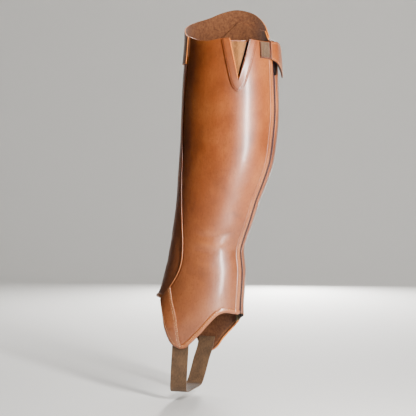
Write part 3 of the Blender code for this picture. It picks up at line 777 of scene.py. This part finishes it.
VAMP_INNER_SEAM = ((105.3, 70), (94, 91), (76, 115), (63, 129.5), (53.4, 142))
VAMP_OUTER_SEAM = ((-115.5, 57.5), (-108, 81), (-92, 107), (-80, 127), (-69, 146), (-58, 163))
VAMP_OUTER_FRONT = (
    (-111.5, 57), (-102, 72.5), (-89, 93.5), (-76, 112.5), (-62, 128), (-54, 146), (-55.5, 162),
)
INNER_PLEATS = (
    (((92, 78), (100, 79), (106, 78)), 1.1, -0.25), (((82, 91), (90, 92.5), (97, 91)), 1.3, -0.35),
    (((74, 100), (83, 102), (90, 100)), 1.1, -0.25), (((64, 111), (74, 113), (82, 111)), 1.4, -0.35),
    (((56, 122), (64, 124), (70, 122)), 1.2, -0.25),
)


SEAM_ROWS, FRONT_ROWS = (0.9, 2.7), (1.6,)


def leaf(name, columns, rows, left, right, size, sewn_rows, pleats):
    """A leaf-shaped piece between its left and right edges, drawn in along its sewn rows."""

    def place(u, v):
        edges = []
        for row in (np.array(left, float), np.array(right, float)):
            height = between(row[0, 1], row[-1, 1], v)
            edges.append((smooth(row[:, 1], row[:, 0], height), height))
        angle, height = (between(edges[0][k], edges[1][k], u) for k in (0, 1))
        points = leg_point(angle, height, OVERLAY_OUT)
        relief = 0.3 * np.sin(np.pi * u) + folds(points, pleats)
        for row, pulls in sewn_rows:
            away = gap_to(points, line_on_leg(row, OVERLAY_OUT))[0]
            for pull in pulls:
                relief = relief - 0.4 * hump(away, pull, 0.5)
        return moulded(angle, height, OVERLAY_OUT, relief)

    return walled(grid(name, columns, rows, place, size), OVERLAY, (cognac, flesh, cognac))


def sew_leaf(name, piece, seam, front, side):
    """Two rows of stitches along a leaf's seam and one along its front; side is 1 or -1."""
    rows = [(line_on_leg(seam, ON_OVERLAY), side * aside) for aside in SEAM_ROWS]
    rows += [(line_on_leg(front, ON_OVERLAY), -side * aside) for aside in FRONT_ROWS]
    return sew(name, piece, rows, cream_thread, pitch=2.6, sunk=0.1)


inner_front = [(angle + 0.6, height + 0.3) for angle, height in BOTTOM_EDGE if 42 <= angle <= 102][::-1]
inner_leaf = fitted(leaf(
    "inner_toe_leaf", 36, 130, inner_front, VAMP_INNER_SEAM, (14, 75),
    ((VAMP_INNER_SEAM, SEAM_ROWS), (inner_front, FRONT_ROWS)), INNER_PLEATS,
), "inner_vamp")
outer_leaf = fitted(leaf(
    "outer_toe_leaf", 40, 170, VAMP_OUTER_SEAM, VAMP_OUTER_FRONT, (14, 110),
    ((VAMP_OUTER_SEAM, SEAM_ROWS), (VAMP_OUTER_FRONT, FRONT_ROWS)), PLEATS,
), "outer_vamp")
sewn_inner_leaf = sew_leaf("inner_leaf_stitches", inner_leaf, VAMP_INNER_SEAM, inner_front, 1)
sewn_outer_leaf = sew_leaf("outer_leaf_stitches", outer_leaf, VAMP_OUTER_SEAM, VAMP_OUTER_FRONT, -1)

# ---------------------------------------------------------------------------
# The V in the top. A U of leather is sewn round it, and an elastic wedge is sewn behind
# it, so that the top gives when the knee bends.

FACING = 1.2
FACING_OUTER = (
    (94.5, 442.5), (101.5, 408), (107, 386.5), (113.5, 380.5), (121, 387), (129, 408), (139.6, 441.5),
)


def facing_place(u, v):
    """The U runs down the V's left side, round its tip and up its right side, just off its edge."""
    off, half_tip, side = 0.6, 0.64, 0.42
    tip = (NOTCH_TIP[0], NOTCH_TIP[1] - off)
    left, right = (NOTCH_LEFT[0] - off, NOTCH_LEFT[1]), (NOTCH_RIGHT[0] + off, NOTCH_RIGHT[1])
    tip_left, tip_right = (tip[0] - half_tip, tip[1]), (tip[0] + half_tip, tip[1])
    turned = np.clip((u - side) / (1 - 2 * side), 0, 1)
    round_tip = (tip[0] + (2 * turned - 1) * half_tip, tip[1] - off * np.sin(turned * np.pi))
    inside = []
    for k in (0, 1):
        value = np.where(u < side, between(left[k], tip_left[k], u / side), round_tip[k])
        inside.append(np.where(u > 1 - side, between(right[k], tip_right[k], (1 - u) / side), value))
    steps = np.linspace(0, 1, len(FACING_OUTER))
    outside = [smooth(steps, [p[k] for p in FACING_OUTER], u) for k in (0, 1)]
    angle, height = (between(outside[k], inside[k], v) for k in (0, 1))
    points = leg_point(angle, height, OVERLAY_OUT)
    in_from_edge = gap_to(points, line_on_leg(FACING_OUTER, OVERLAY_OUT))[0]
    slit = ((NOTCH_LEFT, NOTCH_TIP), (NOTCH_TIP, NOTCH_RIGHT))
    from_slit = gap_to(points, np.concatenate([line_on_leg(row, OVERLAY_OUT) for row in slit]))[0]
    skived = -0.9 * hump(in_from_edge, 0, 0.9) - 0.55 * hump(in_from_edge, 1.6, 0.5)
    return moulded(angle, height, OVERLAY_OUT, skived + 0.2 * hump(from_slit, 0, 1.6))


facing = grid("notch_binding", 150, 28, facing_place, (130, 10))
notch_binding = fitted(walled(facing, FACING, LEATHER_FINISHES, edge=0.2), "notch_facing")
facing_line = line_on_leg(FACING_OUTER, OVERLAY_OUT + FACING + 0.3)
sewn_facing = sew("notch_stitches", notch_binding, [(facing_line, 1.5)], russet_thread, pitch=2.6)


def maths(made, operation, first, second=0.5):
    return node(made, "ShaderNodeMath", {0: first, 1: second}, operation=operation).outputs[0]


def woven(name, ground, rib, across, along, depth):
    """A woven elastic. Rubber cords run its length, a pitch across apart, and cover threads
    cross them, a pitch along apart. Both pitches and the cords' depth are in millimetres."""
    made, shader = new_finish(name)
    place = node(made, "ShaderNodeUVMap").outputs["UV"]
    axes = node(made, "ShaderNodeSeparateXYZ", {"Vector": place}).outputs
    waves = []
    for axis, pitch in (("X", across), ("Y", along)):
        turned = maths(made, "MULTIPLY", axes[axis], 2 * math.pi * per_metre(pitch))
        waves.append(spread(made, maths(made, "SINE", turned), -1, 1, 0, 1))
    cords = maths(made, "ADD", waves[0], maths(made, "MULTIPLY", waves[1], 0.2))
    drawn = node(made, "ShaderNodeMapping", {"Vector": place, "Scale": (1.0, 0.22, 1.0)}).outputs["Vector"]
    fibres = noise(made, drawn, 0.7, 4.0)
    # The cords are painted lighter and the ground between them darker, as painted light and painted shade
    # over their bump; the fibres and the wide patches are the cloth's own tone.
    lit = maths(made, "ADD", spread(made, cords, 0, 1.35, 0.25, 0.62), fibres)
    shade = maths(made, "ADD", lit, noise(made, place, 14, 3.0))
    colour = ramp(made, spread(made, shade, 0.9, 1.75, 0, 1), ((0.1, ground), (0.9, rib)))
    # Where a strip falls back into a deep trough it is painted near black, as painted shade.
    sunk = spread(made, attribute(made, "wear_and_shading"), -0.8, -2.6, 0.0, 0.9)
    fill(made, shader, {
        "Base Color": mixed(made, sunk, colour, "#1c0d06"), "Roughness": 0.85, "Sheen Weight": 0.25,
        "Normal": bump(made, fibres, 0.4, 0.2, bump(made, cords, 0.6, depth)),
    })
    return made


tan_elastic = woven("tan_ribbed_elastic", "#5d3819", "#9a6a3c", 1.4, 0.5, 0.35)


def wedge_place(u, v):
    angle = between(between(110.5, 118.5, u), between(99.5, 135.0, u), v)
    height = between(386.0, 441.0, v)
    ribs = 0.14 * (0.1 + 0.9 * v) * np.cos(2 * np.pi * u * 22)
    # Its back edge is stretched away from the hide, so that a gap opens there, and the fall is kept so
    # that the gap is painted dark, as painted shade.
    points = leg_point(angle, height, 0)
    gap = gap_to(points, line_on_leg((NOTCH_TIP, NOTCH_RIGHT), 0))[0]
    front = gap_to(points, line_on_leg((NOTCH_TIP, NOTCH_LEFT), 0))[0]
    fallen = 5.0 * hump(gap, 0, 2.5) * np.clip(front / 4, 0.3, 1)
    points = leg_point(angle, height, -1.7 + ribs - fallen - 0.6 * np.sin(np.pi * u) * v)
    return np.hstack([points, -fallen[:, None]])


stretch_wedge = walled(grid("stretch_wedge", 130, 50, wedge_place, (34, 55)), 1.1, (tan_elastic,))
fitted(stretch_wedge, "notch_gusset")

# A narrow leather binding closes the wedge's top, and the V's front edge is left raw.
across = np.linspace(0.03, 0.97, 60)
wedge_top = wedge_place(across, np.ones(60))[:, :3] + (leg_point(120, 441, 0.55) - leg_point(120, 441, 0))
fitted(tube("wedge_binding", wedge_top, 0.95, 3, cognac))
slit_edge = line_on_leg((NOTCH_LEFT, (NOTCH_TIP[0] - 0.4, NOTCH_TIP[1] + 1)), OVERLAY_OUT + FACING * 0.6)
fitted(tube("slit_raw_edge", slit_edge[1:], 0.5, 2, cut_edge))

# ---------------------------------------------------------------------------
# The back. A zip with its plum tape, a leather flap beside it, and a dark elastic strip
# that runs the whole height and lets the chap stretch over the calf.

TAPE_ANGLES = (164.6, 178.0)
FLAP_ANGLES = (175.3, 202.2)
ELASTIC_ANGLES = (200.0, 216.5)
ZIP_ANGLE, ZIP_TOP, ELASTIC_TOP = 171.4, 434.0, 440.0


def strip_place(angles, high, out):
    """A strip up the back between two angles, from the lower edge to high, at a distance out."""

    def place(u, v):
        angle = between(*angles, u)
        height = between(bottom(angle), high(angle), v)
        return leg_point(angle, height, out(angle, height))

    return place


def flap_out(angle, height):
    ridge = 0.6 * hump(angle, FLAP_ANGLES[0] + 1.9, 1.4) - 0.6 * hump(angle, FLAP_ANGLES[0], 0.9)
    gathers = 0.22 * np.sin(2 * np.pi * height / 7.5) * hump(angle, FLAP_ANGLES[1], 3.0)
    return uneven(angle, height) * 0.6 + ridge + gathers


def behind(angles, low, high, upper):
    """A strip that shows between two edges and runs on behind the leather on both sides."""

    def out(angle, height):
        return between(-2.0, -0.1, eased(np.minimum(angle - low, high - angle) / 0.9 + 0.5))

    return strip_place(angles, lambda angle: upper, out)


zip_cloth = woven("plum_zip_tape", "#2a1214", "#4e2426", 0.9, 0.7, 0.12)
dark_elastic = woven("olive_grey_elastic", "#2e2a1c", "#6b6046", 1.3, 1.0, 0.35)
strip = grid("zip_ribbon", 30, 250, behind(TAPE_ANGLES, 167.9, 175.0, ZIP_TOP), (12.6, 325))
zip_ribbon = fitted(walled(strip, 1.1, (zip_cloth,)), "zip_tape")
strip = grid("zip_flap", 26, 250, strip_place(FLAP_ANGLES, top, flap_out), (27, 335))
zip_flap = fitted(walled(strip, LEATHER, LEATHER_FINISHES), "zip_placket")
TOOTH = one_of_many((1.3, 2.3, 1.3))
zip_line = line_on_leg(upright(ZIP_ANGLE, 112, 435, 14), 1.4)
coil, shader = new_finish("plum_nylon_coil")
fill(coil, shader, {"Base Color": hex_colour("#2c1416"), "Roughness": 0.35})
zip_teeth = sew("zip_teeth", zip_ribbon, [(zip_line, 0.9), (zip_line, -0.9)], coil, 1.9, TOOTH, -0.15)
flap_rows = [
    (line_on_leg(upright(angle, 112, 442), ON_LEATHER), aside)
    for angle, aside in zip(FLAP_ANGLES, (-3.6, 2.2))
]
sewn_flap = sew("flap_stitches", zip_flap, flap_rows, russet_thread)
strip = grid("back_elastic", 40, 250, behind(ELASTIC_ANGLES, 202.5, 213.9, ELASTIC_TOP), (16, 335))
back_elastic = fitted(walled(strip, 1.4, (dark_elastic,)), "rear_elastic")

# ---------------------------------------------------------------------------
# Piping. A thin cord covered in the same leather stands on the front seam.

WELT_RADIUS, WELT_LOW, WELT_HIGH, WELT_SUNK = 0.8, 131.0, 416.0, 0.5

heights = np.linspace(WELT_LOW, WELT_HIGH, 190)
welt_path = leg_point(edge_angle(FRONT_SEAM, heights), heights, ON_LEATHER + WELT_RADIUS - WELT_SUNK)
shin_piping = tube("shin_piping", welt_path, WELT_RADIUS, 4, cognac)
# Its colour is painted paler up to the ankle, as painted light, and darker above, as painted shade down
# the front of the shin.
up = np.array([point.co.z for point in shin_piping.data.vertices]) / MM + CALF_HEIGHT
wear_and_shading = shin_piping.data.attributes.new("wear_and_shading", "FLOAT", "POINT")
wear_and_shading.data.foreach_set("value", np.clip((232 - up) / 18, -0.8, 1.0))
fitted(shin_piping, "front_welt")

# ---------------------------------------------------------------------------
# Closing tab. A short elastic on the inner side carries a shaped leather tab round the
# back, over the zip's slider, to a snap on the outer side.

TAB = np.array([
    (161.2, 421.0, 442.5, 3.2), (167.0, 418.5, 443.0, 5.4), (172.0, 415.0, 443.0, 6.6),
    (182.0, 408.0, 440.5, 6.5), (192.0, 401.5, 436.5, 6.1), (203.0, 411.5, 441.5, 5.4),
    (213.0, 421.0, 446.0, 4.7), (219.0, 427.0, 444.5, 4.3), (222.5, 432.0, 441.0, 4.3),
])


def tab_place(u, v):
    angle = between(TAB[0, 0], TAB[-1, 0], u)
    low, high, out = (smooth(TAB[:, 0], TAB[:, k], angle) for k in (1, 2, 3))
    return leg_point(angle, between(low, high, v), out + 0.25 * np.sin(np.pi * v))


TAB_THICK = 1.6
closing_tab = walled(grid("closing_tab", 60, 28, tab_place, (62, 30)), TAB_THICK, INKED_SHADED_FINISHES)
fitted(closing_tab, "guard_tab")


def tab_edge(column):
    """The tab's lower or upper edge, as points just outside its leather."""
    angles = np.linspace(TAB[0, 0], TAB[-1, 0], 120)
    height, out = (smooth(TAB[:, 0], TAB[:, k], angles) for k in (column, 3))
    return leg_point(angles, height, out + TAB_THICK + 0.3)


sewn_tab = sew("tab_stitches", closing_tab, [(tab_edge(1), 2.0), (tab_edge(2), -2.0)], cream_thread)

taupe_elastic = woven("taupe_elastic_band", "#38281a", "#6f543b", 1.1, 0.7, 0.22)


def tab_stretch_place(u, v):
    ribs = 0.14 * np.cos(2 * np.pi * u * 9)
    return leg_point(between(143.2, 160.6, u), between(421.6, 441.2, v), OVERLAY_OUT + ribs)


tab_stretch = walled(grid("tab_stretch", 54, 30, tab_stretch_place, (17.5, 19.6)), 1.2, (taupe_elastic,))
fitted(tab_stretch, "tab_elastic")
OVERLOCK = one_of_many((1.0, 1.7, 0.9))
CORNERS = ((143.9, 440.6), (143.9, 422.4), (160.0, 422.4), (160.0, 440.6))
round_it = [(line_on_leg(side, OVERLAY_OUT + 1.5), 0) for side in zip(CORNERS, CORNERS[1:])]
sewn_stretch = sew("tab_stretch_stitches", tab_stretch, round_it, russet_thread, 0.8, OVERLOCK, -0.1)

# ---------------------------------------------------------------------------
# Foot band. A woven elastic passes under the boot in front of its heel, sewn inside both
# sides.

FOOT_BAND = np.array([
    (38.0, -51.5, 84), (37.4, -52.5, 66), (36.6, -54.0, 46), (35.0, -55.5, 27), (30.5, -57.0, 14.5),
    (20.0, -57.0, 11.6), (0.0, -57.0, 11.2), (-20.0, -56.0, 11.6), (-30.0, -54.5, 14.5),
    (-33.0, -51.0, 27), (-33.6, -46.0, 46), (-33.9, -41.5, 60), (-34.9, -39.0, 74),
])
BAND_WIDTH, BAND_THICK = 21.0, 1.6


def band_place(u, v):
    steps = np.linspace(0, 1, len(FOOT_BAND))
    x, y, height = (smooth(steps, FOOT_BAND[:, k], 1 - v) for k in range(3))
    y = y + between(-0.5, 0.5, u) * BAND_WIDTH
    return np.stack([x, y, height - CALF_HEIGHT], axis=-1) * MM


strip = grid("foot_band", 20, 190, band_place, (BAND_WIDTH, 190))
foot_band = fitted(walled(strip, BAND_THICK, (taupe_elastic,), offset=0), "foot_strap")

# ---------------------------------------------------------------------------
# Metal. The snap, the zip's slider, its pull and its end stop are cast and plated.

gunmetal, shader = new_finish("gunmetal_plating")
scuffs = noise(gunmetal, on_object(gunmetal), 1.2, 4.0)
fill(gunmetal, shader, {
    "Base Color": hex_colour("#3c3a3a"), "Metallic": 1.0,
    "Roughness": spread(gunmetal, scuffs, 0.3, 0.7, 0.22, 0.42),
})
for name in ("zip_slider", "zip_pull", "zip_stop"):
    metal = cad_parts[name]
    metal.data.materials.clear()
    metal.data.materials.append(gunmetal)

# The snap's cap: radius and rise in millimetres from its back, over the rim, to its dome.
CAP = np.array([
    (0, 0), (5.9, 0), (6.2, 0.2), (6.2, 0.8), (5.95, 1.15), (5.4, 1.25), (5.05, 1.0), (4.8, 0.95),
    (4.5, 1.25), (3.9, 1.85), (3.0, 2.3), (1.9, 2.52), (0.9, 2.6), (0, 2.6),
])
CAP_ANGLE, CAP_HEIGHT = 209.0, 435.5
cap_out = smooth(TAB[:, 0], TAB[:, 3], CAP_ANGLE) + TAB_THICK + 0.5
cap_foot, cap_above, cap_before = leg_point(
    CAP_ANGLE, CAP_HEIGHT + np.array([0, 0.5, 0]), cap_out + np.array([0, 0, 1.0]),
)


def cap_place(u, v):
    radius, rise = (np.interp(v * (len(CAP) - 1), range(len(CAP)), CAP[:, k]) for k in (0, 1))
    outward = Vector(cap_before - cap_foot).normalized()
    upward = Vector(cap_above - cap_foot)
    upward = (upward - outward * upward.dot(outward)).normalized()
    sideways = outward.cross(upward)
    turn = u * 2 * np.pi
    across = np.cos(turn)[:, None] * np.array(sideways) + np.sin(turn)[:, None] * np.array(upward)
    return cap_foot + (across * radius[:, None] + np.array(outward) * rise[:, None]) * MM


snap_dome = grid("snap_dome", 56, len(CAP) - 1, cap_place, (39, 10))
weld(snap_dome, outward=True)
snap_dome.data.materials.append(gunmetal)
bpy.ops.object.shade_smooth_by_angle(angle=math.radians(50))
fitted(snap_dome, "snap_cap")

# ---------------------------------------------------------------------------
# Studio: a bowl of paper, pale where the picture looks and grey on its other sides, a tall
# soft box to the right of the camera, and low fill.

paper, shader = new_finish("pale_paper")
colour = ramp(paper, attribute(paper, "greyness"), ((0.0, "#dcdad6"), (1.0, "#3c3b3a")))
fill(paper, shader, {"Base Color": colour, "Roughness": 0.9})
bpy.ops.object.select_all(action="DESELECT")
bpy.ops.mesh.primitive_grid_add(x_subdivisions=96, y_subdivisions=60, size=2)
sweep = bpy.context.object
sweep.name = "paper_sweep"
# The floor runs out in metres, turns up on a 1 metre curve, and goes on as a wall all round.
FLOOR, PAPER_RUN = 1.9, 6.5
greyness = []
for vertex in sweep.data.vertices:
    along = (vertex.co.y + 1) / 2 * PAPER_RUN
    turn = min(max(along - FLOOR, 0), math.pi / 2)
    out = min(along, FLOOR) + math.sin(turn)
    rise = (1 - math.cos(turn)) + max(along - FLOOR - math.pi / 2, 0)
    around = vertex.co.x * math.pi
    vertex.co = (-out * math.cos(around), out * math.sin(around), rise - CALF_HEIGHT * MM)
    greyness.append(min(max((0.75 - math.cos(around)) / 0.35, 0), 1) * min(max((along - 1.2) / 0.9, 0), 1))
sweep.data.attributes.new("greyness", "FLOAT", "POINT").data.foreach_set("value", greyness)
weld(sweep, within=0.5)
bpy.ops.object.shade_smooth()
sweep.data.materials.append(paper)


def soft_box(name, place, aim, size, power):
    light = bpy.data.lights.new(name, "AREA")
    light.shape = "RECTANGLE"
    light.size, light.size_y = size
    light.energy = power
    lamp = bpy.data.objects.new(name, light)
    lamp.location = place
    lamp.rotation_euler = (Vector(aim) - Vector(place)).to_track_quat("-Z", "Y").to_euler()
    bpy.context.scene.collection.objects.link(lamp)


soft_box("key_strip", (0.57, 0.60, 0.10), (0, 0, -0.05), (0.06, 0.86), 18)
soft_box("outer_strip", (-1.48, -0.26, 0.40), (0, 0, -0.10), (0.16, 1.2), 26)
soft_box("top_fill", (0.9, -0.3, 1.9), (0, 0, -0.2), (1.4, 1.4), 2)
soft_box("paper_light", (-1.4, 0.0, 2.4), (-2.9, 0, 0.2), (2.0, 2.0), 40)

# The light is hard and low, so the picture gets a little more contrast.
bpy.context.scene.view_settings.look = "AgX - Medium High Contrast"
world = bpy.data.worlds.new("studio")
bpy.context.scene.world = world
world.use_nodes = True
fill(world, world.node_tree.nodes["Background"], {"Color": (1, 1, 1, 1), "Strength": 0.03})

lens = bpy.data.cameras.new("camera")
lens.sensor_width = 36
lens.lens = 1120 / 416 * 36
camera = bpy.data.objects.new("camera", lens)
camera.location = (1.3523, 0.3623, -0.08)
towards = Vector((0.0069, -0.0257, -0.100)) - camera.location
camera.rotation_euler = towards.to_track_quat("-Z", "Y").to_euler()
bpy.context.scene.collection.objects.link(camera)
bpy.context.scene.camera = camera
